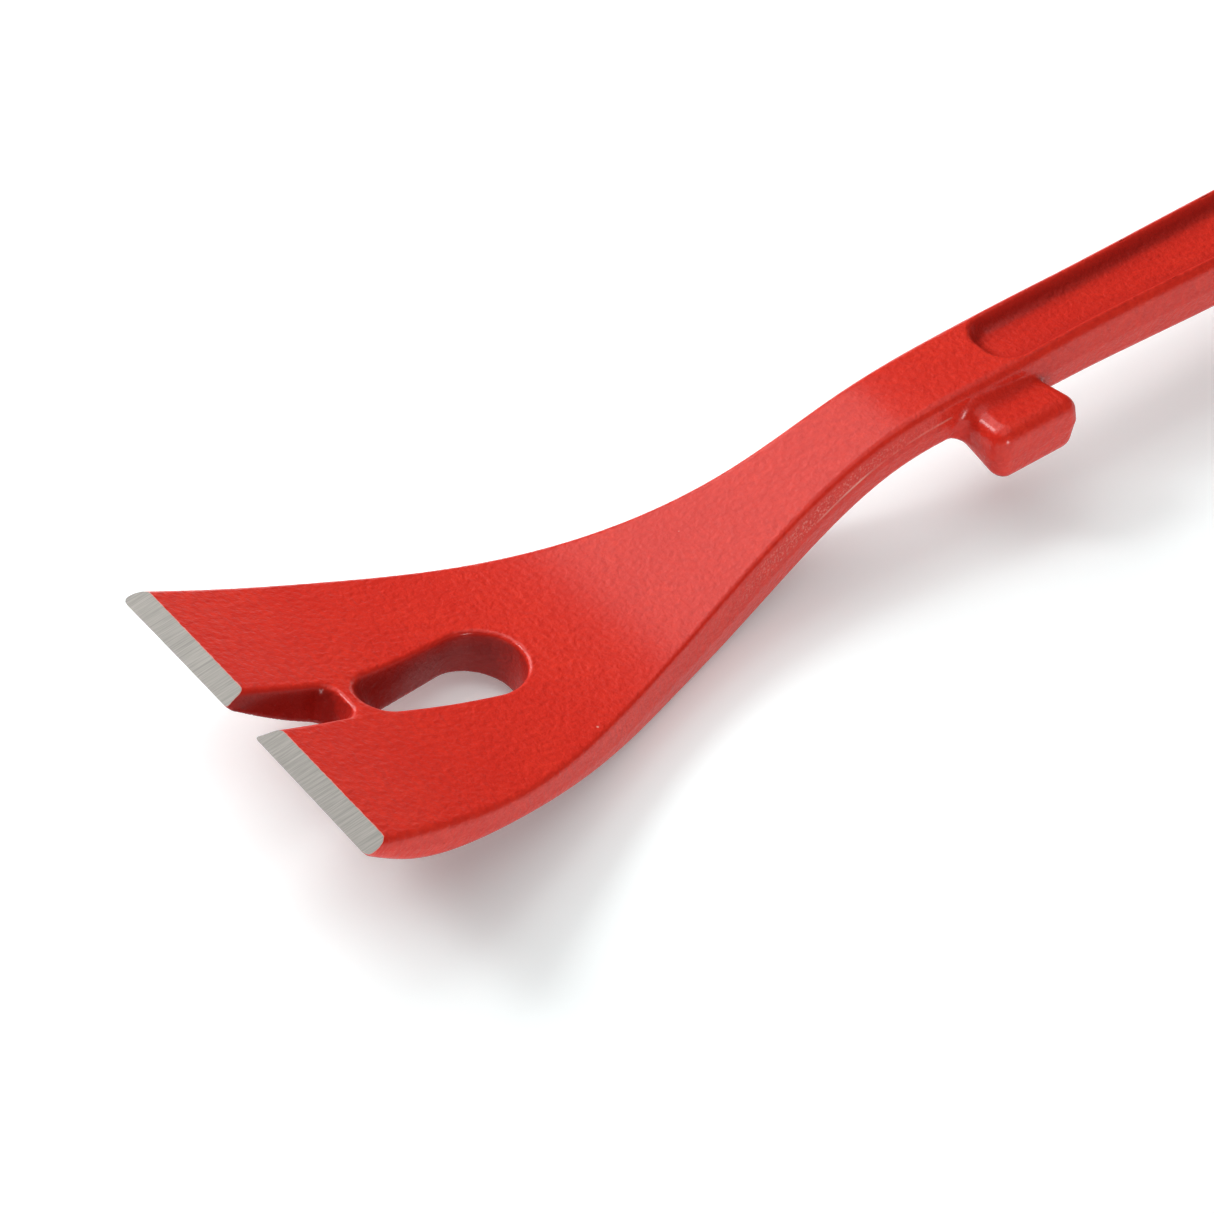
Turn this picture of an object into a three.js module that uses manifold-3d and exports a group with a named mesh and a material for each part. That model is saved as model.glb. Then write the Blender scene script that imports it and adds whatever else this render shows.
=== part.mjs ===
// Halligan-type forcible entry bar: a drop-forged fork bar whose tang is pinned into a drop-forged adze-and-pike head.
// Millimetres, +Z up. The bar lies along X with the fork towards -X, the striking lug is on the -Y side, the pike
// points along +Y and the adze along +Z. The tool lies on the fork's belly and on the pad under the head's hub.
//
// The pieces are drawn in bar coordinates: x from the fork's cutting edges towards the head, y from the middle of the
// bar and z from the handle's top face. The outer group moves them so that the origin is the middle of the underside
// of the whole tool's box.
import * as THREE from 'three';
import { mergeVertices } from 'three/addons/utils/BufferGeometryUtils.js';
import Module from 'manifold-3d';

const wasm = await Module();
wasm.setup();

// Whole tool.
const overallLength = 762;
const forkWidth = 106.4;
const restHeight = 39.4;
const gap = 0.3;
const beyond = 5;
const curveSteps = 48;

// Fork blade, neck and handle. Each outline is a smooth curve through [x, value] points.
const topProfile = [[0, 4.3], [26, -7.8], [51.5, -16.9], [87.5, -23.3], [123.5, -22.1], [159.5, -14.1],
  [195.5, -3.8], [232, -0.9], [270, 0]];
const bottomProfile = [[0, -1], [12, -10.4], [27, -18.9], [52, -28], [80, -36], [117, -restHeight], [134, -38.5],
  [160, -32.2], [196, -19.1], [212, -16.7], [270, -17.3], [310, -18.3], [370, -18.5]];
const halfWidths = [[0, forkWidth / 2], [26, 50.7], [51.5, 46.3], [87.5, 34.8], [123.5, 22.6], [159.5, 13.9],
  [195.5, 11.4], [232, 12.1], [270, 11.9], [309, 12.5], [370, 13.5]];
const handleThickness = 18.5;

// Bare ground strip along each cutting edge: it slopes gently up from the edge.
const groundStrip = { width: 6.7, edgeHeight: 0.1, slope: 0.135 };

// Nail notch between the two tips, and the keyhole slot behind it.
const notch = { depth: 30.2, mouthHalfWidth: 8.2, innerHalfWidth: 6.6, shoulder: 26.6 };
const keyhole = { smallX: 41.5, smallRadius: 8.1, largeX: 69.6, largeRadius: 12.6 };

// Pockets that make the handle an I-section.
const pocket = { start: 236.5, end: 640, halfWidth: 9.8, corner: 8, depth: 4 };

// Striking lug on the side of the neck.
const lug = { start: 219.8, end: 250, outer: 28, top: -6.8, bottom: -24.2, corner: 4 };

// Tang and the socket that takes it.
const tang = { width: 22, height: 15, end: 738, chamfer: 2.5 };
const tangMiddle = -handleThickness / 2;

// Head: collar, hub and striking pads.
const collar = { start: 664, width: 42, height: 38, corner: 7 };
const hub = { start: 702, end: 750, halfWidth: 23, halfHeight: 22, corner: 6 };
const endPad = { size: 36, corner: 6 };
const sidePad = { size: 34, thickness: 6, corner: 6 };
const hubMiddleX = (hub.start + hub.end) / 2;
const sidePadReach = hub.halfWidth + sidePad.thickness;
const underPadReach = restHeight + tangMiddle;

// Adze and pike. Each row: distance from the bar's middle line, shift of the middle of the blade towards the fork,
// thickness along the bar and width across.
const adzeSections = [[18, 0, 42, 44], [48, 0.6, 25, 42], [78, 3, 17.5, 47], [113, 7.5, 10.5, 56], [145, 13, 2.5, 64]];
const adzeGround = { depth: 11, rise: 4.5, edge: 0.5 };
const pikeSections = [[18, 0, 42, 38], [45, 0.6, 30, 28], [80, 4, 23, 21], [115, 9.5, 14, 13], [145, 16, 3, 3]];
const pikeReach = pikeSections.at(-1)[0];

// Spring pins: an outer slotted sleeve with a smaller one nested in it, both as long as the collar is high.
const outerPin = { radius: 4, wall: 1.5, slot: 1.6, chamfer: 0.7 };
const innerPin = { radius: 2.2, wall: 0.9, slot: 0.9, chamfer: 0.4 };
const pinPlaces = { front: 675, rear: 693 };
const pinLength = collar.height;

// Materials.
const paintedSteel = new THREE.MeshStandardMaterial({ color: 0xc8231e, roughness: 0.38, metalness: 0 });
const springSteel = new THREE.MeshStandardMaterial({ color: 0x4a4b4d, roughness: 0.4, metalness: 0.9 });

const toVector = ([x, y]) => new THREE.Vector2(x, y);
const mirrored = (points) => points.map(({ x, y }) => new THREE.Vector2(x, -y)).reverse();
const smooth = (points) => new THREE.SplineCurve(points.map(toVector)).getPoints(curveSteps);

function polygon(points) {
  return new THREE.Shape(points);
}

// An outline mirrored about the x axis, given its upper half from left to right.
function mirroredOutline(upper) {
  return polygon([...upper, ...mirrored(upper)].reverse());
}

function roundedRectangle(width, height, corner) {
  const shape = new THREE.Shape();
  const x = width / 2 - corner;
  const y = height / 2 - corner;
  shape.absarc(x, -y, corner, -Math.PI / 2, 0, false);
  shape.absarc(x, y, corner, 0, Math.PI / 2, false);
  shape.absarc(-x, y, corner, Math.PI / 2, Math.PI, false);
  shape.absarc(-x, -y, corner, Math.PI, Math.PI * 1.5, false);
  return shape;
}

function extrude(shape, depth, curveSegments = 5) {
  return new THREE.ExtrudeGeometry(shape, { depth, bevelEnabled: false, curveSegments });
}

// A shape drawn in x and y, as a slab from z = low to z = high.
const slabZ = (shape, low, high) => extrude(shape, high - low).translate(0, 0, low);

// A shape drawn in x and z, as a slab from y = low to y = high.
const slabY = (shape, low, high) => extrude(shape, high - low).rotateX(Math.PI / 2).translate(0, high, 0);

// A shape drawn in y and z, as a slab from x = low to x = high.
const slabX = (shape, low, high) => extrude(shape, high - low).rotateX(Math.PI / 2).rotateZ(Math.PI / 2)
  .translate(low, 0, 0);

function solid(geometry) {
  const plain = geometry.clone();
  plain.deleteAttribute('normal');
  plain.deleteAttribute('uv');
  const merged = mergeVertices(plain, 1e-4);
  return new wasm.Manifold(new wasm.Mesh({
    numProp: 3,
    vertProperties: new Float32Array(merged.attributes.position.array),
    triVerts: new Uint32Array(merged.index.array),
  }));
}

function piece(name, body, material) {
  const { vertProperties, triVerts } = body.getMesh();
  const geometry = new THREE.BufferGeometry();
  geometry.setAttribute('position', new THREE.BufferAttribute(vertProperties, 3));
  geometry.setIndex(new THREE.BufferAttribute(triVerts, 1));
  geometry.computeVertexNormals();
  const mesh = new THREE.Mesh(geometry, material);
  mesh.name = name;
  return mesh;
}

// The side view of blade, neck and handle meets their plan view.
function barBlank() {
  const end = collar.start - gap;
  const top = [...smooth(topProfile), new THREE.Vector2(end, 0)];
  const bottom = [...smooth(bottomProfile), new THREE.Vector2(end, -handleThickness)];
  const side = solid(slabY(polygon([...bottom, ...top.reverse()]), -forkWidth, forkWidth));
  const edge = smooth(halfWidths);
  edge.push(new THREE.Vector2(end, edge.at(-1).y));
  return side.intersect(solid(slabZ(mirroredOutline(edge), -2 * restHeight, restHeight)));
}

function keyholeShape() {
  const { smallX, smallRadius, largeX, largeRadius } = keyhole;
  const lean = Math.PI / 2 + Math.asin((largeRadius - smallRadius) / (largeX - smallX));
  const shape = new THREE.Shape();
  shape.absarc(largeX, 0, largeRadius, -lean, lean, false);
  shape.absarc(smallX, 0, smallRadius, lean, 2 * Math.PI - lean, false);
  return shape;
}

function notchShape() {
  const shape = new THREE.Shape();
  shape.moveTo(notch.shoulder, -notch.innerHalfWidth);
  shape.bezierCurveTo(notch.depth, -notch.innerHalfWidth, notch.depth, notch.innerHalfWidth,
    notch.shoulder, notch.innerHalfWidth);
  shape.lineTo(-beyond, notch.mouthHalfWidth);
  shape.lineTo(-beyond, -notch.mouthHalfWidth);
  return shape;
}

// The space above the ground strips.
function strippedAway() {
  const { width, edgeHeight, slope } = groundStrip;
  const reach = width + beyond;
  const outline = [[-beyond, edgeHeight - slope * beyond], [reach, edgeHeight + slope * reach],
    [reach, restHeight], [-beyond, restHeight]];
  return solid(slabY(polygon(outline.map(toVector)), -forkWidth, forkWidth));
}

function handlePockets() {
  const length = pocket.end - pocket.start;
  const shape = roundedRectangle(length, 2 * pocket.halfWidth, pocket.corner);
  const middle = (pocket.start + pocket.end) / 2;
  const upper = slabZ(shape, -pocket.depth, beyond).translate(middle, 0, 0);
  const lower = slabZ(shape, -handleThickness - beyond, pocket.depth - handleThickness).translate(middle, 0, 0);
  return solid(upper).add(solid(lower));
}

function lugBlock() {
  const shape = roundedRectangle(lug.end - lug.start, lug.top - lug.bottom, lug.corner);
  const block = slabY(shape, -lug.outer, 0);
  return solid(block.translate((lug.start + lug.end) / 2, 0, (lug.top + lug.bottom) / 2));
}

function tangBlank(clearance) {
  const { width, height, end, chamfer } = tang;
  const shape = roundedRectangle(width + 2 * clearance, height + 2 * clearance, chamfer);
  return solid(slabX(shape, pocket.end + beyond, end + clearance).translate(0, 0, tangMiddle));
}

function pinHoles() {
  const holes = Object.values(pinPlaces).map((x) => {
    const hole = new THREE.CylinderGeometry(outerPin.radius + gap, outerPin.radius + gap, 2 * pinLength, 32);
    return solid(hole.rotateX(Math.PI / 2).translate(x, 0, tangMiddle));
  });
  return holes[0].add(holes[1]);
}

function forkBar() {
  return barBlank()
    .add(lugBlock())
    .add(tangBlank(0))
    .subtract(solid(slabZ(keyholeShape(), -2 * restHeight, restHeight)))
    .subtract(solid(slabZ(notchShape(), -2 * restHeight, restHeight)))
    .subtract(strippedAway())
    .subtract(handlePockets())
    .subtract(pinHoles());
}

// Two outlines of a tapering arm that leaves the hub: seen along the bar's side, and seen from the end of the bar.
function armOutlines(sections) {
  const fore = sections.map(([reach, shift, thickness]) => [reach, hubMiddleX - shift - thickness / 2]);
  const aft = sections.map(([reach, shift, thickness]) => [reach, hubMiddleX - shift + thickness / 2]);
  const half = sections.map(([reach, , , width]) => [reach, width / 2]);
  return { side: [...smooth(fore), ...smooth(aft).reverse()], end: smooth(half) };
}

// An arm that points along +Z from the bar's middle line.
function arm(sections) {
  const { side, end } = armOutlines(sections);
  const reach = sections.at(-1)[0];
  const sideShape = polygon(side.map(({ x, y }) => new THREE.Vector2(y, x)).reverse());
  const ends = [...end, ...mirrored(end)];
  const endShape = polygon(ends.map(({ x, y }) => new THREE.Vector2(y, x)));
  return solid(slabY(sideShape, -reach, reach)).intersect(solid(slabX(endShape, 0, overallLength)));
}

// What is ground away on the fork side of the adze, to leave a narrow edge.
function adzeGroundAway() {
  const [reach, shift, thickness] = adzeSections.at(-1);
  const edge = hubMiddleX - shift + thickness / 2 - adzeGround.edge;
  const low = reach - adzeGround.depth;
  const outline = [[edge, reach + beyond], [edge, reach], [edge - adzeGround.rise, low], [hub.start, low],
    [hub.start, reach + beyond]];
  return solid(slabY(polygon(outline.map(toVector)), -forkWidth, forkWidth));
}

function strikingPads() {
  const side = roundedRectangle(sidePad.size, sidePad.size, sidePad.corner);
  const under = solid(slabZ(side, -underPadReach, 0).translate(hubMiddleX, 0, 0));
  const beside = solid(slabY(side, -sidePadReach, 0).translate(hubMiddleX, 0, 0));
  const behind = solid(slabX(roundedRectangle(endPad.size, endPad.size, endPad.corner), hub.end - beyond,
    overallLength));
  return under.add(beside).add(behind);
}

function adzePikeHead() {
  const hubShape = roundedRectangle(2 * hub.halfWidth, 2 * hub.halfHeight, hub.corner);
  const collarShape = roundedRectangle(collar.width, collar.height, collar.corner);
  const pike = arm(pikeSections).rotate([-90, 0, 0]);
  const adze = arm(adzeSections).subtract(adzeGroundAway());
  return solid(slabX(hubShape, hub.start, hub.end))
    .add(solid(slabX(collarShape, collar.start, hub.start + beyond)))
    .add(strikingPads())
    .add(adze)
    .add(pike)
    .translate([0, 0, tangMiddle])
    .subtract(tangBlank(gap))
    .subtract(pinHoles());
}

// A sleeve with one slot along it, which faces -X or +X, and chamfered ends.
function springPin({ radius, wall, slot, chamfer }, slotAngle) {
  const ring = new THREE.Shape();
  const outerGap = Math.asin(slot / 2 / radius);
  const innerGap = Math.asin(slot / 2 / (radius - wall));
  ring.absarc(0, 0, radius, outerGap, 2 * Math.PI - outerGap, false);
  ring.absarc(0, 0, radius - wall, 2 * Math.PI - innerGap, innerGap, true);
  const sleeve = extrude(ring, pinLength, 14).translate(0, 0, -pinLength / 2).rotateZ(slotAngle);
  const half = pinLength / 2;
  const profile = [[0, -half], [radius - chamfer, -half], [radius + gap, -half + chamfer + gap],
    [radius + gap, half - chamfer - gap], [radius - chamfer, half], [0, half]];
  const ends = new THREE.LatheGeometry(profile.map(toVector), 32).rotateX(Math.PI / 2);
  return solid(sleeve).intersect(solid(ends));
}

function pinPair(place, x) {
  const pair = new THREE.Group();
  pair.add(piece(`outer_pin_${place}`, springPin(outerPin, 0), springSteel));
  pair.add(piece(`inner_pin_${place}`, springPin(innerPin, Math.PI), springSteel));
  pair.position.set(x, 0, tangMiddle);
  return pair;
}

const halliganBar = new THREE.Group();
halliganBar.add(piece('fork_bar', forkBar(), paintedSteel));
halliganBar.add(piece('adze_pike_head', adzePikeHead(), paintedSteel));
for (const [place, x] of Object.entries(pinPlaces)) {
  halliganBar.add(pinPair(place, x));
}
halliganBar.position.set(-overallLength / 2, (forkWidth / 2 - pikeReach) / 2, restHeight);

export default halliganBar;
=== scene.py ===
import math

import bmesh
import bpy
import numpy as np
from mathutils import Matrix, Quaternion, Vector


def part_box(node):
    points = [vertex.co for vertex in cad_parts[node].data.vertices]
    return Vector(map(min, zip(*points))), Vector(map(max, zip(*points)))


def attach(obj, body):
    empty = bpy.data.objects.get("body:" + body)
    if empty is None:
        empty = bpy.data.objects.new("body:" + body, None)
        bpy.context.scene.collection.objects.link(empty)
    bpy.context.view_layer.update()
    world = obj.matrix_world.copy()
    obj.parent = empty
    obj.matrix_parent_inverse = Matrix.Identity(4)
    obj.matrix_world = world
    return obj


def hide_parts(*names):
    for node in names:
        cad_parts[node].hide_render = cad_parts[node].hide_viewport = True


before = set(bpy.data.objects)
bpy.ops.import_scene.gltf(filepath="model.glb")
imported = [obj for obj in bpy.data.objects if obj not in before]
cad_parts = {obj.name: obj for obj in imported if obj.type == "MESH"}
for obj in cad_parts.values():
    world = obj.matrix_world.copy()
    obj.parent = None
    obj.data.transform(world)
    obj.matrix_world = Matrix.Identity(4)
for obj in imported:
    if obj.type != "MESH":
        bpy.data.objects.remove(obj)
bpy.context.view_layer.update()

# The forgings are drawn in bar coordinates, in millimetres: x from the fork's cutting edges towards the head,
# y from the bar's middle line with the lug on the minus side, and z from the handle's top face.
MM = 0.001
REST_HEIGHT = 39.4
FORK_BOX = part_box("fork_bar")
HEAD_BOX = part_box("adze_pike_head")
ORIGIN = Vector((FORK_BOX[0].x, (FORK_BOX[0].y + FORK_BOX[1].y) / 2, REST_HEIGHT * MM))
LENGTH = (HEAD_BOX[1].x - ORIGIN.x) / MM
ADZE_TIP = (HEAD_BOX[1].z - ORIGIN.z) / MM
PIKE_TIP = (HEAD_BOX[1].y - ORIGIN.y) / MM

# Camera.
CAMERA_PLACE = (-254.0, -475.2, 543.9)
CAMERA_HEADING = math.radians(52.54)
CAMERA_DIP = math.radians(43.54)
CAMERA_ROLL = math.radians(-0.11)
CAMERA_LENS = 95.1
CAMERA_SENSOR = 36
CAMERA_REACH = 20

# Square softboxes, all facing LIT_PLACE from LIGHT_DISTANCE, in metres. Each row: name, heading from +X
# towards +Y and elevation in degrees, side in metres, and power in watts.
LIT_PLACE = (-0.25, -0.05, 0)
LIGHT_DISTANCE = 1.6
SOFTBOXES = (
    ("key", 128, 42, 0.4, 9.5),
    ("low_back_softbox", 98, 27, 1.0, 12),
    ("high_back_softbox", 90, 53, 1.2, 9),
    ("overhead", 0, 88, 2.0, 12),
    ("front_card", 262, 7, 0.4, 8.5),
)

# The floor, in metres. It glows a little, like a lit table.
FLOOR_SIZE = 12
FLOOR_COLOUR = (0.86, 0.92, 0.92, 1)
FLOOR_ROUGHNESS = 0.6
FLOOR_GLOW = 0.23

# The pale sweep round the floor: sines of the elevations where it starts and stops fading, and its light at
# both.
SWEEP_SINES = (-0.02, 0.15)
SWEEP_LIGHT = (0.6, 0.05)

# Fork blade, neck and handle: smooth curves through (x, value) points.
TOP = ((0, 4.3), (26, -7.8), (51.5, -16.9), (87.5, -23.3), (123.5, -22.1), (159.5, -14.1), (195.5, -3.8),
       (232, -0.9), (270, 0))
THICKNESS = ((0, 4.4), (12, 8.3), (27, 10.8), (50, 11.2), (72, 12.8), (93, 14.8), (113, 16.2), (134, 18.2),
             (160, 18.3), (186, 16.1), (206, 15), (232, 15.8), (270, 17.3), (310, 18.3), (370, 18.5))
HALF_WIDTH = ((0, 52.3), (26, 49.7), (51.5, 45.3), (87.5, 33.8), (123.5, 21.6), (159.5, 12.9), (195.5, 10.4),
              (232, 11.1), (270, 10.9), (309, 11.5), (337, 12.05), (400, 12.6))
CROWN = ((0, -0.6), (10, -1.4), (30, 0.8), (90, 1.2), (140, 0.4), (180, 0))
TOP_EDGE = ((0, 2.0), (200, 2.0), (250, 2.8))
UNDER_EDGE = 2.6
WIDTH_SPARE = 1.0
SIDE_DRAFT = 0.14
TINE_CORNER = 2.0

# Ground strips along the cutting edges.
STRIP_WIDTH = 6.7
STRIP_EDGE_Z = 0.1
STRIP_SLOPE = 0.135

# Nail notch: half width at the mouth, half width at the end and place of the end, on the top face and on the
# underside.
NOTCH_TOP = (8.4, 6.8, 30.2)
NOTCH_UNDER = (5.7, 3.2, 25.4)
NOTCH_CORNER = 4.2
NOTCH_EDGE = 1.1

# Keyhole slot: a pair of circles, (x, radius), that its outline wraps, on the top face and on the underside.
KEYHOLE_TOP = ((41.5, 8.1), (69.6, 12.6))
KEYHOLE_UNDER = ((43.5, 4.2), (67.2, 11.4))
KEYHOLE_EDGE = 1.0

# Handle pockets.
POCKET_START = 236.5
POCKET_END = 640.0
POCKET_RIM = 2.0
POCKET_CORNER = 8.5
POCKET_DEPTH = 4.0
POCKET_DRAFT = 0.75
POCKET_FLOOR_FILLET = 1.8
POCKET_EDGE = 0.8

# Striking lug: a block with draft above and below its parting plane, whose underside rises to meet the bar.
LUG_MIDDLE = (234.9, -15.5)
LUG_HALF = (15.1, 8.7)
LUG_END = -28.0
LUG_DRAFT = 0.14
LUG_END_DRAFT = 0.06
LUG_UNDERCUT = (-27.0, 0.35)
LUG_SPLAY = 0.16
LUG_STEP = 0.6
LUG_STEP_HEIGHT = 0.7
LUG_EDGE = 4.2
LUG_CORNER = 4.5
LUG_FILLETS = (4.0, 1.5)

# Tang and head. Boxes are given by their low and high corners, with z from the handle's middle.
HANDLE_END = 663.7
HANDLE_END_EDGE = 1.0
HANDLE_THICKNESS = 18.5
MIDDLE_Z = -HANDLE_THICKNESS / 2
TANG_HALF = (11.0, 7.5)
TANG_END = 738.0
TANG_EDGE = 2.5
TANG_ROOT = 20.0
SOCKET_GAP = 0.3
SOCKET_EDGE = 0.8
HUB_X = 726.0
COLLAR = ((664, -21, -19), (712, 21, 19))
COLLAR_EDGE = 5.5
HUB = ((702, -23, -22), (750, 23, 22))
HUB_EDGE = 7.0
END_PAD = ((738, -18, -18), (LENGTH, 18, 18))
SIDE_PAD = ((709, -29, -17), (743, 0, 17))
UNDER_PAD = ((709, -17, -REST_HEIGHT - MIDDLE_Z), (743, 17, 0))
PAD_EDGE = 2.4
PAD_FILLET = 4.0
COLLAR_FILLET = 7.0

# Adze and pike: reach from the bar's middle, shift towards the fork, half the thickness along the bar, and
# half the width across.
ADZE = ((18, 0, 21, 22), (48, 0.6, 12.5, 21), (78, 3, 8.7, 23.5), (113, 7.5, 5.2, 28), (145, 13, 1.3, 32))
ADZE_EDGE = 2.6
ADZE_FILLET = 9.0
ADZE_GROUND_SLOPE = 0.41
ADZE_GROUND_LAND = 0.5
PIKE = ((18, 0, 21, 19), (45, 0.6, 15, 14), (80, 4, 11.5, 10.5), (115, 9.5, 7, 6.5), (145, 16, 1.5, 1.5))
PIKE_EDGE = 3.4
PIKE_FILLET = 8.0
ARM_TIP_EDGE = 0.6
THIN_ARM_EDGE = 0.7

# Spring pins.
PIN_PLACES = {"front": 675.0, "rear": 693.0}
PIN_HALF_LENGTH = 19.0
PIN_HOLE_RADIUS = 4.3
PIN_HOLE_EDGE = 0.5
OUTER_PIN = {"radius": 4.0, "wall": 1.5, "slot": 1.6, "chamfer": 0.7}
INNER_PIN = {"radius": 2.2, "wall": 0.9, "slot": 0.9, "chamfer": 0.4}
PIN_ARCS = 48
PIN_SHARP_ANGLE = math.radians(30)

# Where a wall slopes, its field grows faster than distance does, so it is scaled down by this.
SLOPE_SCALE = 0.95

# Meshing. Each grid has (start, end, spacing) spans along x, y and z, finer where the shape has more detail.
FORK_BAR_GRID = (
    ((-1.5, 34, 0.7), (34, 88, 0.8), (88, 215, 1.2), (215, 256, 0.8), (256, 350, 1.5), (350, 630, 4),
     (630, 668, 1), (668, 704, 1), (704, TANG_END + 2, 2)),
    ((-55, -30, 1.1), (-30, -15, 0.9), (-15, 15, 0.7), (15, 30, 1), (30, 55, 1.1)),
    ((-41, 8, 0.76),),
)
HEAD_GRID = (
    ((660, 668, 1), (668, 700, 0.8), (700, LENGTH + 1.5, 1.2)),
    ((-34, -24, 1), (-24, -6, 1.4), (-6, 6, 0.8), (6, 24, 1.4), (24, PIKE_TIP + 2, 1.3)),
    ((-REST_HEIGHT - 1.5, 14, 1.3), (14, ADZE_TIP + 2, 1.3)),
)
SLAB = 24
BARE_SLOT = 1
SETTLE_ROUNDS = 5
SETTLE_REACH = 0.75
LEAST_SLOPE = 0.05
PROBE = 0.02

# Marks that the enamel reads from the mesh. FAR is beyond any mark. The sides are marked where the distance
# from the outline is in SIDE_BAND, the parting line runs from SEAM_START to SEAM_END, SEAM_RISE above the
# middle, and the sides are grainiest near GRAIN_MIDDLE.
FAR = 100.0
SIDE_BAND = (-3.0, 2.5)
SIDE_START = 2.0
SEAM_RISE = 2.0
SEAM_START = 158.0
SEAM_END = 217.0
GRAIN_MIDDLE = 168.0
GRAIN_SPREAD = 28.0
LEAST_GRAIN = 0.08
GRAIN_MARGIN = 2.0
GRAIN_LUG_GAP = 3.0
HEAD_GRAIN = 0.15
# Painted shade in recesses: on the notch's and slot's walls within CUT_REACH and from CUT_START deep, and in
# the
# top pocket, fading over POCKET_SHADE_REACH from its walls.
CUT_REACH = 1.5
CUT_START = 0.6
POCKET_SHADE_REACH = 1.8
POCKET_SHADE_SPARE = 1.0
POCKET_SHADE_POWER = 0.7

# Enamel colours, and how much of the marks shows.
RED = (0.70, 0.031, 0.015, 1)
RED_DARK_MOTTLE = (0.60, 0.021, 0.011, 1)
RED_DEEP = (0.65, 0.024, 0.0125, 1)
# Painted shade, for faces that point down and for the walls of recesses.
RED_PAINTED_SHADE = (0.30, 0.010, 0.007, 1)
RED_PALE = (0.80, 0.33, 0.27, 1)
# How much painted shade the recesses get.
PAINTED_RECESS_SHADE_SHARE = 0.8
GRAIN_SHARE = 0.4
# How much painted highlight the parting line gets.
SEAM_HIGHLIGHT_SHARE = 0.8

# Enamel patterns: noise scales and detail, where a higher scale is finer, and the values where each fades in.
MOTTLE_NOISE = (45, 3)
MOTTLE_FADE = (0.35, 0.65)
FINE_MOTTLE_NOISE = (520, 2)
FINE_MOTTLE_FADE = (0.3, 0.7)
# Painted shade fades in as the normal's upward part falls from the first value to the second.
UNDERSIDE_SHADE_FADE = (-0.4, -0.8)
GRAIN_NOISE = (1500, 1)
GRAIN_FADE = (0.52, 0.7)
SEAM_FADE = (0.45, 0.15)
SEAM_BREAK_NOISE = (60, 2)
SEAM_BREAK_FADE = (0.42, 0.6)
RUB_NOISE = (500, 2)
RUB_WAVER = 0.5
RUB_FADE = (0.42, 0.3)
SPECK_SCALE = 75
SPECK_FADE = (0.032, 0.018)
SPECK_PATCH_NOISE = (24, 1)
SPECK_PATCH_FADE = (0.52, 0.56)

# Enamel relief: noises, and each bump's strength and height in metres.
PEEL_NOISE = (620, 2)
PEEL_BUMP = (0.8, 0.0006)
WAVE_NOISE = (150, 2)
WAVE_BUMP = (0.14, 0.0012)
ROUGH_NOISE = (1300, 2)
ROUGH_BUMP = (0.5, 0.0005)
SEAM_BUMP = (0.6, 0.0004)

# Bare steel: how the noise is stretched into scratches or drawing lines, its two greys, and its relief.
SCRATCH_TURN = math.radians(7)
SCRATCH_STRETCH = (80, 2600, 80)
SCRATCH_FADE = (0.35, 0.7)
SCRATCH_GREYS = ((0.19, 0.18, 0.165, 1), (0.29, 0.275, 0.25, 1))
SCRATCH_BUMP = (0.25, 0.0002)
DRAWN_STRETCH = (2500, 2500, 120)
DRAWN_FADE = (0.3, 0.7)
DRAWN_GREYS = ((0.14, 0.14, 0.145, 1), (0.24, 0.24, 0.25, 1))
DRAWN_BUMP = (0.15, 0.0001)


def curve(points, level_end=True):
    """A smooth function through the points, by default level at the last one, with the end values beyond."""
    x, y = np.array(points, float).T
    n, h = len(x), np.diff(x)
    slopes = np.diff(y) / h
    system, right = np.zeros((n, n)), np.zeros(n)
    system[0, 0] = 1
    for i in range(1, n - 1):
        system[i, i - 1:i + 2] = h[i - 1], 2 * (h[i - 1] + h[i]), h[i]
        right[i] = 6 * (slopes[i] - slopes[i - 1])
    system[-1, -1] = 1
    if level_end:
        system[-1, -2:] = h[-1], 2 * h[-1]
        right[-1] = -6 * slopes[-1]
    bend = np.linalg.solve(system, right)

    def value(at):
        at = np.clip(at, x[0], x[-1])
        i = np.clip(np.searchsorted(x, at) - 1, 0, n - 2)
        a, b = (x[i + 1] - at) / h[i], (at - x[i]) / h[i]
        arch = ((a**3 - a) * bend[i] + (b**3 - b) * bend[i + 1]) * h[i]**2 / 6
        return a * y[i] + b * y[i + 1] + arch

    return value


top_z = curve(TOP)
thickness = curve(THICKNESS)
half_width = curve(HALF_WIDTH)
crown = curve(CROWN)
top_edge = curve(TOP_EDGE)


# Solids are fields of signed distance, negative inside.

def both(a, b, edge):
    """What two solids share, with the edge between them rounded."""
    return np.minimum(np.maximum(a, b), -edge) + np.hypot(np.maximum(a + edge, 0), np.maximum(b + edge, 0))


def joined(a, b, fillet):
    """Two solids as one, with a fillet between them."""
    return -both(-a, -b, fillet)


def without(a, b, edge):
    """The first solid less the second, with a rounded edge."""
    return both(a, -b, edge)


def striking_lug(x, y, z):
    """The lug on the neck's near side. Its end nearer the head steps a little at the parting plane."""
    height = np.abs(z - LUG_MIDDLE[1])
    shifted = x - LUG_STEP * np.clip((z - LUG_MIDDLE[1]) / LUG_STEP_HEIGHT, 0, 1) * (x > LUG_MIDDLE[0])
    splay = LUG_SPLAY * np.maximum(y - LUG_END, 0) * (x > LUG_MIDDLE[0])
    ends = np.abs(shifted - LUG_MIDDLE[0]) - LUG_HALF[0] + LUG_DRAFT * height + splay
    outer = LUG_END + LUG_END_DRAFT * height - y
    start, rise = LUG_UNDERCUT
    under = LUG_MIDDLE[1] - LUG_HALF[1] + rise * np.maximum(y - start, 0) - z
    above = z - LUG_MIDDLE[1] - LUG_HALF[1]
    block = both(both(ends, outer, LUG_CORNER), np.maximum(under, above), LUG_EDGE)
    return np.maximum(block, y)


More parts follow.
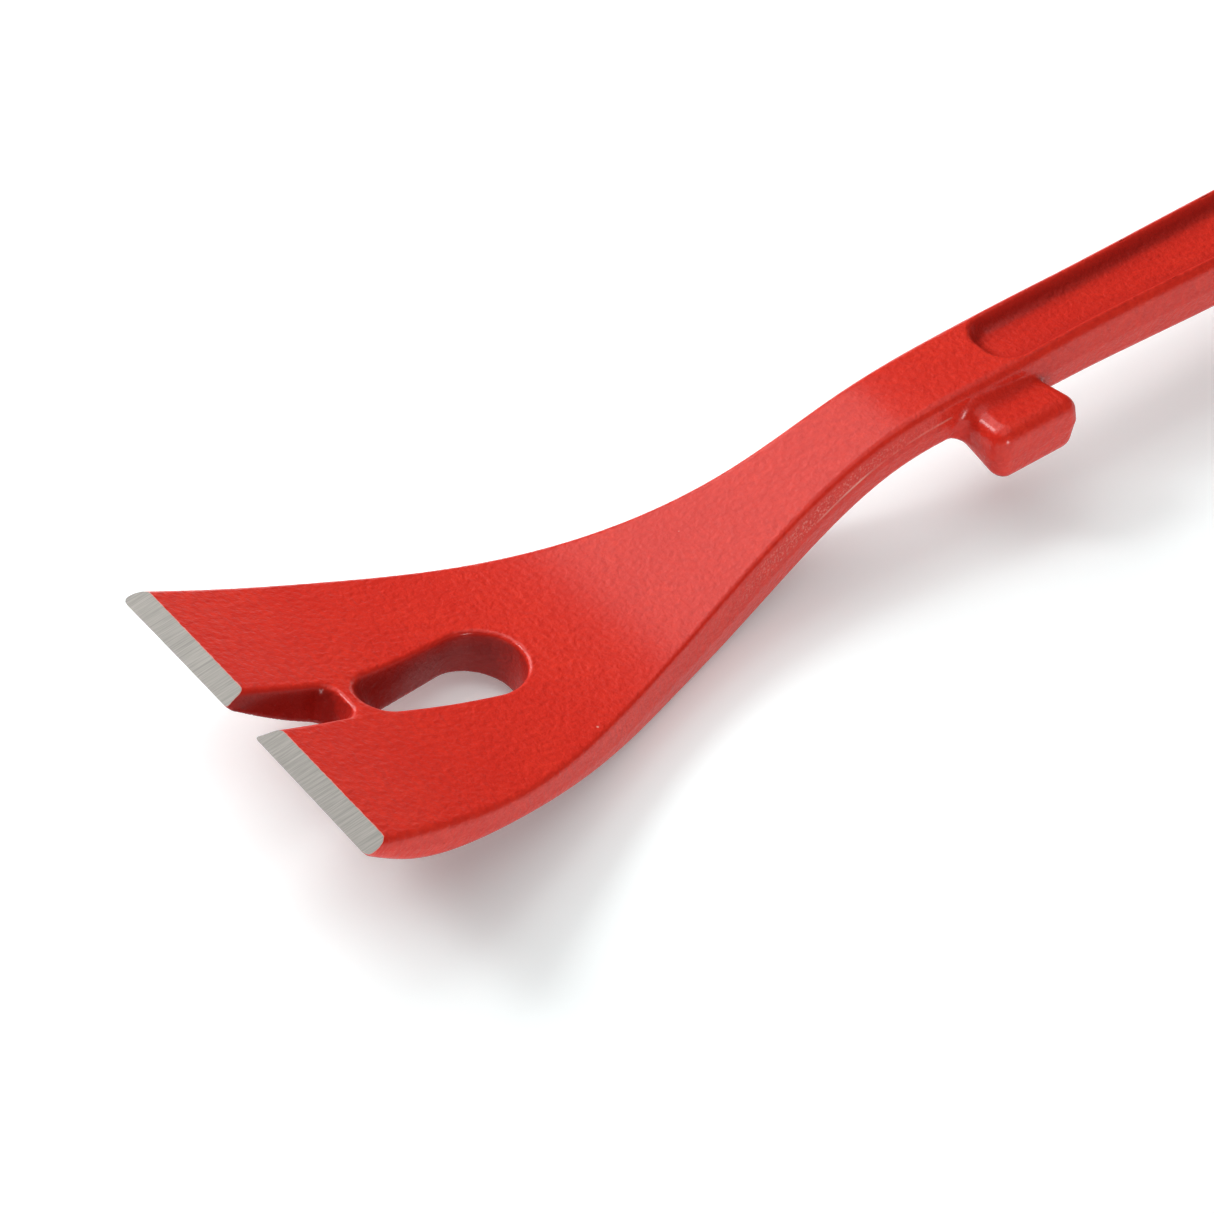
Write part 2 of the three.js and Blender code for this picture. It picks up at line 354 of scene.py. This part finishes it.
def rounded_box(x, y, z, low, high, edge):
    parts = [np.abs(v - (a + b) / 2) - (b - a) / 2 for v, a, b in zip((x, y, z), low, high)]
    return both(both(parts[0], parts[1], edge), parts[2], edge)


def wrapped_circles(x, y, circles_top, circles_under, depth):
    """Distance in plan to the outline round two circles on the x axis, which changes evenly with depth."""
    (x1, r1), (x2, r2) = (
        [a + (b - a) * depth for a, b in zip(top, under)] for top, under in zip(circles_top, circles_under))
    length = x2 - x1
    lean = (r2 - r1) / length
    rise = np.sqrt(1 - lean**2)
    along = (x - x1) * rise + np.abs(y) * lean
    beside = np.abs(y) * rise - (x - x1) * lean - r1
    first, last = np.hypot(x - x1, y) - r1, np.hypot(x - x2, y) - r2
    return np.where(along < 0, first, np.where(along > length * rise, last, beside))


def notch_outline(x, y, depth):
    """Distance in plan to the nail notch, open at the cutting edges and square at its end."""
    mouth, inner, end = (a + (b - a) * depth for a, b in zip(NOTCH_TOP, NOTCH_UNDER))
    return both(np.abs(y) - mouth + (mouth - inner) * x / end, x - end, NOTCH_CORNER)


def bar_blank(x, y, z):
    """Blade, neck and handle before anything is cut."""
    top, half = top_z(x), half_width(x) + WIDTH_SPARE
    middle = top - thickness(x) / 2
    across = np.abs(y)
    above = (z - top) * SLOPE_SCALE
    below = (top - thickness(x) + crown(x) * (across / half)**2 - z) * SLOPE_SCALE
    side = (across - half + SIDE_DRAFT * (np.abs(z - middle) - thickness(x) / 2)) * SLOPE_SCALE
    outline = both(side, -x, TINE_CORNER)
    body = both(both(outline, above, top_edge(x)), below, UNDER_EDGE)
    return both(body, x - HANDLE_END, HANDLE_END_EDGE)


def pocket_outline(x, y):
    """Distance in plan to the pockets' outline at the handle's faces."""
    middle, half_length = (POCKET_START + POCKET_END) / 2, (POCKET_END - POCKET_START) / 2
    half = half_width(x) + WIDTH_SPARE - POCKET_RIM
    return both(np.abs(x - middle) - half_length, np.abs(y) - half, POCKET_CORNER)


def pocket(x, y, z, face, way):
    """The pocket in the handle's face at z = face. way is 1 on the top and -1 on the underside."""
    depth = (face - z) * way
    return both(pocket_outline(x, y) + POCKET_DRAFT * depth, depth - POCKET_DEPTH, POCKET_FLOOR_FILLET)


def tang(x, y, z, spare):
    """The tang, or with some spare the socket that takes it."""
    low = (HANDLE_END - TANG_ROOT, -TANG_HALF[0] - spare, MIDDLE_Z - TANG_HALF[1] - spare)
    high = (TANG_END + spare, TANG_HALF[0] + spare, MIDDLE_Z + TANG_HALF[1] + spare)
    return rounded_box(x, y, z, low, high, TANG_EDGE)


def pin_holes(x, y):
    front, rear = (np.hypot(x - place, y) for place in PIN_PLACES.values())
    return np.minimum(front, rear) - PIN_HOLE_RADIUS


def arm(x, across, reach, sections, edge):
    """A tapering arm that points along reach and curves towards the fork."""
    stations = np.array(sections, float)
    shift, thick, wide = (curve(stations[:, (0, i)], level_end=False)(reach) for i in (1, 2, 3))
    edge = np.minimum(edge, thick * THIN_ARM_EDGE)
    outline = both(np.abs(x - HUB_X + shift) - thick, np.abs(across) - wide, edge)
    return np.maximum(both(outline * SLOPE_SCALE, reach - stations[-1, 0], ARM_TIP_EDGE), -reach)


def fork_bar(x, y, z):
    body = bar_blank(x, y, z)
    left_fillet, right_fillet = LUG_FILLETS
    share = np.clip((x - LUG_MIDDLE[0]) / LUG_HALF[0] + 0.5, 0, 1)
    body = joined(body, striking_lug(x, y, z), left_fillet + (right_fillet - left_fillet) * share)
    depth = np.clip((top_z(x) - z) / thickness(x), 0, 1)
    keyhole = wrapped_circles(x, y, KEYHOLE_TOP, KEYHOLE_UNDER, depth)
    notch = notch_outline(x, y, depth) * SLOPE_SCALE
    body = without(body, keyhole, KEYHOLE_EDGE)
    body = without(body, notch, NOTCH_EDGE)
    body = without(body, pocket(x, y, z, top_z(x), 1), POCKET_EDGE)
    body = without(body, pocket(x, y, z, top_z(x) - thickness(x), -1), POCKET_EDGE)
    return without(np.minimum(body, tang(x, y, z, 0)), pin_holes(x, y), PIN_HOLE_EDGE)


def adze_pike_head(x, y, z):
    across, up = y, z - MIDDLE_Z
    hub = rounded_box(x, across, up, *HUB, HUB_EDGE)
    collar = rounded_box(x, across, up, *COLLAR, COLLAR_EDGE)
    body = joined(hub, collar, COLLAR_FILLET)
    for pad in (END_PAD, SIDE_PAD, UNDER_PAD):
        body = joined(body, rounded_box(x, across, up, *pad, PAD_EDGE), PAD_FILLET)
    body = joined(body, arm(x, across, up, ADZE, ADZE_EDGE), ADZE_FILLET)
    body = joined(body, arm(x, up, across, PIKE, PIKE_EDGE), PIKE_FILLET)
    body = without(body, tang(x, y, z, SOCKET_GAP), SOCKET_EDGE)
    return without(body, pin_holes(x, y), PIN_HOLE_EDGE)


# Meshing.

def steps(*spans):
    """Grid places from (start, end, spacing) spans that follow each other."""
    parts = [np.linspace(a, b, max(2, round((b - a) / s) + 1))[:-1] for a, b, s in spans]
    return np.concatenate([*parts, [spans[-1][1]]])


def settle(field, places, reach):
    """Moves each point onto the field's zero surface, at most reach from where it starts."""
    start = places.copy()
    for _ in range(SETTLE_ROUNDS):
        slope = slope_of(field, places)
        places = places - slope * (field(*places.T) / np.maximum((slope**2).sum(1), LEAST_SLOPE))[:, None]
        places = start + np.clip(places - start, -reach, reach)
    return places


def surface(field, xs, ys, zs):
    """Vertices and four-sided faces of a field's zero surface, with one vertex in each cell it crosses."""
    inside = np.concatenate([
        field(xs[i:i + SLAB, None, None], ys[None, :, None], zs[None, None, :]) < 0
        for i in range(0, len(xs), SLAB)])
    count = sum(inside[a:a + len(xs) - 1, b:b + len(ys) - 1, c:c + len(zs) - 1].astype(np.int8)
                for a in (0, 1) for b in (0, 1) for c in (0, 1))
    crossed = (count > 0) & (count < 8)
    number = np.full(crossed.shape, -1)
    number[crossed] = np.arange(crossed.sum())
    cells = np.argwhere(crossed)
    low = np.stack([v[cells[:, i]] for i, v in enumerate((xs, ys, zs))], 1)
    high = np.stack([v[cells[:, i] + 1] for i, v in enumerate((xs, ys, zs))], 1)
    places = settle(field, (low + high) / 2, (high - low) * SETTLE_REACH)
    faces = []
    for axis in range(3):
        turned, numbers = np.moveaxis(inside, axis, 0), np.moveaxis(number, axis, 0)
        change = turned[:-1, 1:-1, 1:-1] != turned[1:, 1:-1, 1:-1]
        i, j, k = np.nonzero(change)
        corners = ((j, k), (j + 1, k), (j + 1, k + 1), (j, k + 1))
        ring = np.stack([numbers[i, b, c] for b, c in corners], 1)
        outward = turned[i, j + 1, k + 1] ^ (axis == 1)
        ring[~outward] = ring[~outward, ::-1]
        faces.append(ring)
    return places, np.concatenate(faces)


def slope_of(field, places):
    """The field's slope at each point."""
    here = field(*places.T)
    return np.stack([(field(*(places + PROBE * axis).T) - here) / PROBE for axis in np.eye(3)], 1)


def shade_exactly(piece, field):
    """Gives smooth faces the field's own normals and leaves flat faces flat."""
    mesh = piece.data
    normals = slope_of(field, places_in(piece))
    normals /= np.maximum(np.linalg.norm(normals, axis=1), 1e-6)[:, None]
    corner_vertex = np.empty(len(mesh.loops), dtype=np.int32)
    mesh.loops.foreach_get("vertex_index", corner_vertex)
    corner_normals = normals[corner_vertex]
    for face in mesh.polygons:
        if not face.use_smooth:
            corner_normals[face.loop_start:face.loop_start + face.loop_total] = face.normal
    mesh.normals_split_custom_set(corner_normals.tolist())


def mesh_piece(name, places, faces):
    """An object with these vertices, in bar coordinates, and four-sided faces."""
    mesh = bpy.data.meshes.new(name)
    mesh.vertices.add(len(places))
    mesh.vertices.foreach_set("co", (places * MM + np.array(ORIGIN)).astype(np.float32).ravel())
    mesh.loops.add(faces.size)
    mesh.loops.foreach_set("vertex_index", faces.astype(np.int32).ravel())
    mesh.polygons.add(len(faces))
    mesh.polygons.foreach_set("loop_start", np.arange(0, faces.size, 4, dtype=np.int32))
    mesh.update(calc_edges=True)
    mesh.validate()
    mesh.shade_smooth()
    piece = bpy.data.objects.new(name, mesh)
    bpy.context.scene.collection.objects.link(piece)
    return piece


def grind(piece, point, normal, material_index):
    """Cuts away what lies beyond a plane in bar coordinates, and closes the cut with flat bare faces."""
    shape = bmesh.new()
    shape.from_mesh(piece.data)
    everything = [*shape.verts, *shape.edges, *shape.faces]
    place = Vector(point) * MM + ORIGIN
    cut = bmesh.ops.bisect_plane(
        shape, geom=everything, plane_co=place, plane_no=Vector(normal), clear_outer=True)
    rim = [e for e in cut["geom_cut"] if isinstance(e, bmesh.types.BMEdge)]
    made = bmesh.ops.triangle_fill(shape, edges=rim, use_beauty=True)["geom"]
    for face in [part for part in made if isinstance(part, bmesh.types.BMFace)]:
        face.smooth = False
        face.material_index = material_index
    for edge in rim:
        edge.smooth = False
    shape.to_mesh(piece.data)
    shape.free()


def places_in(piece):
    """The vertices in bar coordinates."""
    places = np.empty(len(piece.data.vertices) * 3)
    piece.data.vertices.foreach_get("co", places)
    return (places.reshape(-1, 3) - np.array(ORIGIN)) / MM


def mark(piece, **values):
    """Stores a number for each vertex under each name, for the enamel to use."""
    for name, value in values.items():
        layer = piece.data.attributes.new(name, "FLOAT", "POINT")
        layer.data.foreach_set("value", np.broadcast_to(value, len(piece.data.vertices)).astype(np.float32))


def recess_share(x, y, z):
    """How much shade is painted at a point: on the notch's and slot's walls, and near the walls of the top
    pocket.
    """
    depth = top_z(x) - z
    share = np.clip(depth / thickness(x), 0, 1)
    keyhole = np.abs(wrapped_circles(x, y, KEYHOLE_TOP, KEYHOLE_UNDER, share))
    notch = np.abs(notch_outline(x, y, share))
    in_cut = (np.minimum(keyhole, notch) < CUT_REACH) * np.clip(depth - CUT_START, 0, 1)
    outline = pocket_outline(x, y)
    from_wall = np.maximum(-outline - POCKET_DRAFT * depth, 0)
    inside = (depth < POCKET_DEPTH + POCKET_SHADE_SPARE) * (outline < POCKET_SHADE_SPARE)
    in_pocket = np.exp(-from_wall / POCKET_SHADE_REACH) * inside
    return np.maximum(in_cut, in_pocket * np.clip(depth / POCKET_DEPTH, 0, 1)**POCKET_SHADE_POWER)


def mark_fork_bar(piece):
    """Marks distance from the parting line and from the ground strips' plane, the grain, and the painted
    shade in recesses.
    """
    x, y, z = places_in(piece).T
    edge = np.abs(y) - half_width(x) - WIDTH_SPARE
    on_side = (edge > SIDE_BAND[0]) & (edge < SIDE_BAND[1]) & (x > SIDE_START)
    seam = z - top_z(x) + thickness(x) / 2 - SEAM_RISE
    seam = np.where(on_side & (x > SEAM_START) & (x < SEAM_END), seam, np.sign(seam) * FAR)
    ground = np.abs(STRIP_EDGE_Z + STRIP_SLOPE * x - z) + np.maximum(x - 2 * STRIP_WIDTH, 0)
    spread = np.exp(-((x - GRAIN_MIDDLE) / GRAIN_SPREAD)**2)
    height = np.abs(z - top_z(x) + thickness(x) / 2)
    beside_lug = np.abs(x - LUG_MIDDLE[0]) < LUG_HALF[0] + GRAIN_LUG_GAP
    grain = on_side * (LEAST_GRAIN + (1 - LEAST_GRAIN) * spread * (seam > 0))
    grain = grain * (height < thickness(x) / 2 - GRAIN_MARGIN) * ~beside_lug
    mark(piece, seam_mm=seam, ground_mm=ground, grain=grain, recess=recess_share(x, y, z))


def make_fork_bar():
    places, faces = surface(fork_bar, *(steps(*spans) for spans in FORK_BAR_GRID))
    piece = mesh_piece("fork_bar_forging", places, faces)
    grind(piece, (0, 0, STRIP_EDGE_Z), (-STRIP_SLOPE, 0, 1), BARE_SLOT)
    shade_exactly(piece, fork_bar)
    mark_fork_bar(piece)
    return piece


def make_head():
    places, faces = surface(adze_pike_head, *(steps(*spans) for spans in HEAD_GRID))
    piece = mesh_piece("adze_pike_head_forging", places, faces)
    tip, shift, thick, _ = ADZE[-1]
    edge = (HUB_X - shift + thick - ADZE_GROUND_LAND, 0, MIDDLE_Z + tip)
    grind(piece, edge, (-1, 0, ADZE_GROUND_SLOPE), BARE_SLOT)
    shade_exactly(piece, adze_pike_head)
    mark(piece, seam_mm=FAR, ground_mm=FAR, grain=HEAD_GRAIN, recess=0)
    return piece


def spring_pin(name, place, way, radius, wall, slot, chamfer):
    """A sleeve with one slot along it, which faces the head for way = 1 and the fork for way = -1."""
    levels = ((-PIN_HALF_LENGTH, chamfer), (-PIN_HALF_LENGTH + chamfer, 0),
              (PIN_HALF_LENGTH - chamfer, 0), (PIN_HALF_LENGTH, chamfer))

    def arc(size, opening):
        angles = np.linspace(opening, 2 * math.pi - opening, PIN_ARCS + 1)
        return [(place + way * size * math.cos(a), way * size * math.sin(a)) for a in angles]

    shape = bmesh.new()
    rings = []
    for height, inset in levels:
        outer = arc(radius - inset, math.asin(slot / 2 / radius))
        inner = arc(radius - wall, math.asin(slot / 2 / (radius - wall)))
        spots = [Vector((x, y, MIDDLE_Z + height)) for x, y in outer + inner[::-1]]
        rings.append([shape.verts.new(spot * MM + ORIGIN) for spot in spots])
    around = len(rings[0])
    for low, high in zip(rings, rings[1:]):
        for i in range(around):
            j = (i + 1) % around
            shape.faces.new((low[i], low[j], high[j], high[i])).smooth = i not in (PIN_ARCS, around - 1)
    for ring, order in ((rings[0], 1), (rings[-1], -1)):
        for i in range(PIN_ARCS):
            corners = (ring[i], ring[around - 1 - i], ring[around - 2 - i], ring[i + 1])
            shape.faces.new(corners[::order])
    bmesh.ops.recalc_face_normals(shape, faces=shape.faces)
    mesh = bpy.data.meshes.new(name)
    shape.to_mesh(mesh)
    shape.free()
    mesh.set_sharp_from_angle(angle=PIN_SHARP_ANGLE)
    piece = bpy.data.objects.new(name, mesh)
    bpy.context.scene.collection.objects.link(piece)
    return piece


# Stage.

def pointing(heading, elevation):
    """A direction, with the heading counted from +X towards +Y, both in radians."""
    level = math.cos(elevation)
    return Vector((math.cos(heading) * level, math.sin(heading) * level, math.sin(elevation)))


def make_camera():
    data = bpy.data.cameras.new("camera")
    data.lens = CAMERA_LENS
    data.sensor_width = CAMERA_SENSOR
    data.clip_end = CAMERA_REACH
    camera = bpy.data.objects.new("camera", data)
    bpy.context.scene.collection.objects.link(camera)
    camera.location = Vector(CAMERA_PLACE) * MM + ORIGIN
    forward = pointing(CAMERA_HEADING, -CAMERA_DIP)
    roll = Quaternion((0, 0, 1), -CAMERA_ROLL)
    camera.rotation_euler = (forward.to_track_quat("-Z", "Y") @ roll).to_euler()
    bpy.context.scene.camera = camera


def make_floor():
    bpy.ops.mesh.primitive_plane_add(size=FLOOR_SIZE, location=(0, 0, 0))
    floor = bpy.context.object
    floor.name = "floor"
    material = bpy.data.materials.new("floor")
    material.use_nodes = True
    shader = material.node_tree.nodes["Principled BSDF"]
    shader.inputs["Base Color"].default_value = FLOOR_COLOUR
    shader.inputs["Roughness"].default_value = FLOOR_ROUGHNESS
    shader.inputs["Emission Color"].default_value = (1, 1, 1, 1)
    shader.inputs["Emission Strength"].default_value = FLOOR_GLOW
    floor.data.materials.append(material)


def area_light(name, heading, elevation, size, power):
    """One of the SOFTBOXES."""
    data = bpy.data.lights.new(name, "AREA")
    data.size = size
    data.energy = power
    light = bpy.data.objects.new(name, data)
    bpy.context.scene.collection.objects.link(light)
    towards = pointing(math.radians(heading), math.radians(elevation))
    light.location = Vector(LIT_PLACE) + towards * LIGHT_DISTANCE
    light.rotation_euler = towards.to_track_quat("Z", "Y").to_euler()


def make_lights():
    world = bpy.data.worlds.new("studio")
    bpy.context.scene.world = world
    world.use_nodes = True
    tree = world.node_tree
    tree.nodes["Background"].inputs["Color"].default_value = (1, 1, 1, 1)
    upward = tree.nodes.new("ShaderNodeSeparateXYZ")
    tree.links.new(tree.nodes.new("ShaderNodeTexCoord").outputs["Generated"], upward.inputs[0])
    fade = tree.nodes.new("ShaderNodeMapRange")
    tree.links.new(upward.outputs["Z"], fade.inputs["Value"])
    for socket, value in zip(("From Min", "From Max", "To Min", "To Max"), (*SWEEP_SINES, *SWEEP_LIGHT)):
        fade.inputs[socket].default_value = value
    tree.links.new(fade.outputs["Result"], tree.nodes["Background"].inputs["Strength"])
    for softbox in SOFTBOXES:
        area_light(*softbox)
    bpy.context.scene.view_settings.view_transform = "Standard"


# Materials.

class Look:
    """A material's node tree and a few short ways to add to it."""

    def __init__(self, name):
        self.material = bpy.data.materials.new(name)
        self.material.use_nodes = True
        self.tree = self.material.node_tree
        self.shader = self.tree.nodes["Principled BSDF"]
        self.place = self.tree.nodes.new("ShaderNodeTexCoord").outputs["Object"]

    def add(self, kind, inputs=(), **settings):
        node = self.tree.nodes.new("ShaderNode" + kind)
        for name, value in settings.items():
            setattr(node, name, value)
        for socket, value in dict(inputs).items():
            if isinstance(value, bpy.types.NodeSocket):
                self.tree.links.new(value, node.inputs[socket])
            else:
                node.inputs[socket].default_value = value
        return node

    def noise(self, scale, detail=2, place=None, roughness=0.5):
        inputs = {"Vector": place or self.place, "Scale": scale, "Detail": detail, "Roughness": roughness}
        return self.add("TexNoise", inputs).outputs["Fac"]

    def ramp(self, value, low, high):
        """Goes from 0 to 1 as the value goes from low to high."""
        inputs = {"Value": value, "From Min": low, "From Max": high, "To Min": 0, "To Max": 1}
        return self.add("MapRange", inputs, clamp=True).outputs["Result"]

    def times(self, a, b):
        return self.add("Math", {0: a, 1: b}, operation="MULTIPLY").outputs[0]

    def plus(self, a, b):
        return self.add("Math", {0: a, 1: b}, operation="ADD").outputs[0]

    def absolute(self, value):
        return self.add("Math", {0: value}, operation="ABSOLUTE").outputs[0]

    def attribute(self, name):
        return self.add("Attribute", attribute_name=name).outputs["Fac"]

    def blend(self, share, first, second):
        """Goes from the first colour to the second as the share goes from 0 to 1."""
        node = self.add("Mix", data_type="RGBA")
        for socket, value in ((node.inputs[0], share), (node.inputs[6], first), (node.inputs[7], second)):
            if isinstance(value, bpy.types.NodeSocket):
                self.tree.links.new(value, socket)
            else:
                socket.default_value = value
        return node.outputs[2]

    def bump(self, height, strength, distance, under=None):
        inputs = {"Height": height, "Strength": strength, "Distance": distance}
        if under:
            inputs["Normal"] = under
        return self.add("Bump", inputs).outputs["Normal"]

    def put(self, **values):
        """Sets or links the shader's sockets, whose names are written with _ for a space."""
        for name, value in values.items():
            socket = self.shader.inputs[name.replace("_", " ")]
            if isinstance(value, bpy.types.NodeSocket):
                self.tree.links.new(value, socket)
            else:
                socket.default_value = value


def enamel_colour(look, grain_mark, seam):
    """Mottled red, paler on grain, edges and specks; painted shade below and in recesses; painted
    parting-line highlight.
    """
    red = look.blend(look.ramp(look.noise(*MOTTLE_NOISE), *MOTTLE_FADE), RED_DEEP, RED)
    red = look.blend(look.ramp(look.noise(*FINE_MOTTLE_NOISE), *FINE_MOTTLE_FADE), RED_DARK_MOTTLE, red)
    # Painted shade: faces that point down turn to the darkest red.
    facing = look.add("SeparateXYZ", {0: look.add("NewGeometry").outputs["Normal"]}).outputs["Z"]
    red = look.blend(look.ramp(facing, *UNDERSIDE_SHADE_FADE), red, RED_PAINTED_SHADE)
    # Painted shade on the walls of the notch, the slot and the top pocket.
    red = look.blend(look.times(look.attribute("recess"), PAINTED_RECESS_SHADE_SHARE), red, RED_PAINTED_SHADE)
    grain = look.times(look.ramp(look.noise(*GRAIN_NOISE), *GRAIN_FADE), grain_mark)
    red = look.blend(look.times(grain, GRAIN_SHARE), red, RED_PALE)
    # Painted highlight along the raised parting line.
    red = look.blend(look.times(seam, SEAM_HIGHLIGHT_SHARE), red, RED_PALE)
    rubbed = look.plus(look.attribute("ground_mm"), look.times(look.noise(*RUB_NOISE), RUB_WAVER))
    red = look.blend(look.ramp(rubbed, *RUB_FADE), red, RED_PALE)
    cells = look.add("TexVoronoi", {"Vector": look.place, "Scale": SPECK_SCALE, "Randomness": 1})
    patches = look.ramp(look.noise(*SPECK_PATCH_NOISE), *SPECK_PATCH_FADE)
    specks = look.times(look.ramp(cells.outputs["Distance"], *SPECK_FADE), patches)
    return look.blend(specks, red, RED_PALE)


def enamel_relief(look, grain_mark, seam):
    """Orange peel and broad waves all over, roughness where it is grainy, and a raised parting line."""
    peel = look.bump(look.noise(*PEEL_NOISE), *PEEL_BUMP)
    waves = look.bump(look.noise(*WAVE_NOISE), *WAVE_BUMP, peel)
    rough = look.bump(look.times(look.noise(*ROUGH_NOISE), grain_mark), *ROUGH_BUMP, waves)
    return look.bump(seam, *SEAM_BUMP, rough)


def red_enamel():
    """Satin enamel under a thin gloss."""
    look = Look("red_enamel")
    grain_mark = look.attribute("grain")
    seam = look.ramp(look.absolute(look.attribute("seam_mm")), *SEAM_FADE)
    seam = look.times(seam, look.ramp(look.noise(*SEAM_BREAK_NOISE), *SEAM_BREAK_FADE))
    look.put(Base_Color=enamel_colour(look, grain_mark, seam), Normal=enamel_relief(look, grain_mark, seam))
    look.put(Roughness=0.42, Coat_Weight=0.48, Coat_Roughness=0.19, Specular_IOR_Level=0.1)
    return look.material


def ground_steel():
    """Bare steel with fine scratches from the grinding wheel."""
    look = Look("ground_steel")
    turn = (0, 0, SCRATCH_TURN)
    turned = look.add("Mapping", {"Vector": look.place, "Rotation": turn, "Scale": SCRATCH_STRETCH})
    scratches = look.noise(1, 3, turned.outputs[0], 0.6)
    grey = look.blend(look.ramp(scratches, *SCRATCH_FADE), *SCRATCH_GREYS)
    look.put(Base_Color=grey, Metallic=0.55, Roughness=0.5, Normal=look.bump(scratches, *SCRATCH_BUMP))
    return look.material


def spring_steel():
    """Dark steel with fine lines along the pin."""
    look = Look("spring_steel")
    stretched = look.add("Mapping", {"Vector": look.place, "Scale": DRAWN_STRETCH})
    drawn = look.noise(1, 2, stretched.outputs[0])
    grey = look.blend(look.ramp(drawn, *DRAWN_FADE), *DRAWN_GREYS)
    look.put(Base_Color=grey, Metallic=1, Roughness=0.38, Normal=look.bump(drawn, *DRAWN_BUMP))
    return look.material


make_camera()
make_floor()
make_lights()
enamel, bare, spring = red_enamel(), ground_steel(), spring_steel()
for node, piece in (("fork_bar", make_fork_bar()), ("adze_pike_head", make_head())):
    piece.data.materials.append(enamel)
    piece.data.materials.append(bare)
    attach(piece, "root")
    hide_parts(node)
for where, at in PIN_PLACES.items():
    for kind, way, sizes in (("outer", 1, OUTER_PIN), ("inner", -1, INNER_PIN)):
        piece = spring_pin(f"{kind}_pin_{where}_sleeve", at, way, **sizes)
        piece.data.materials.append(spring)
        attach(piece, "root")
        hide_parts(f"{kind}_pin_{where}")
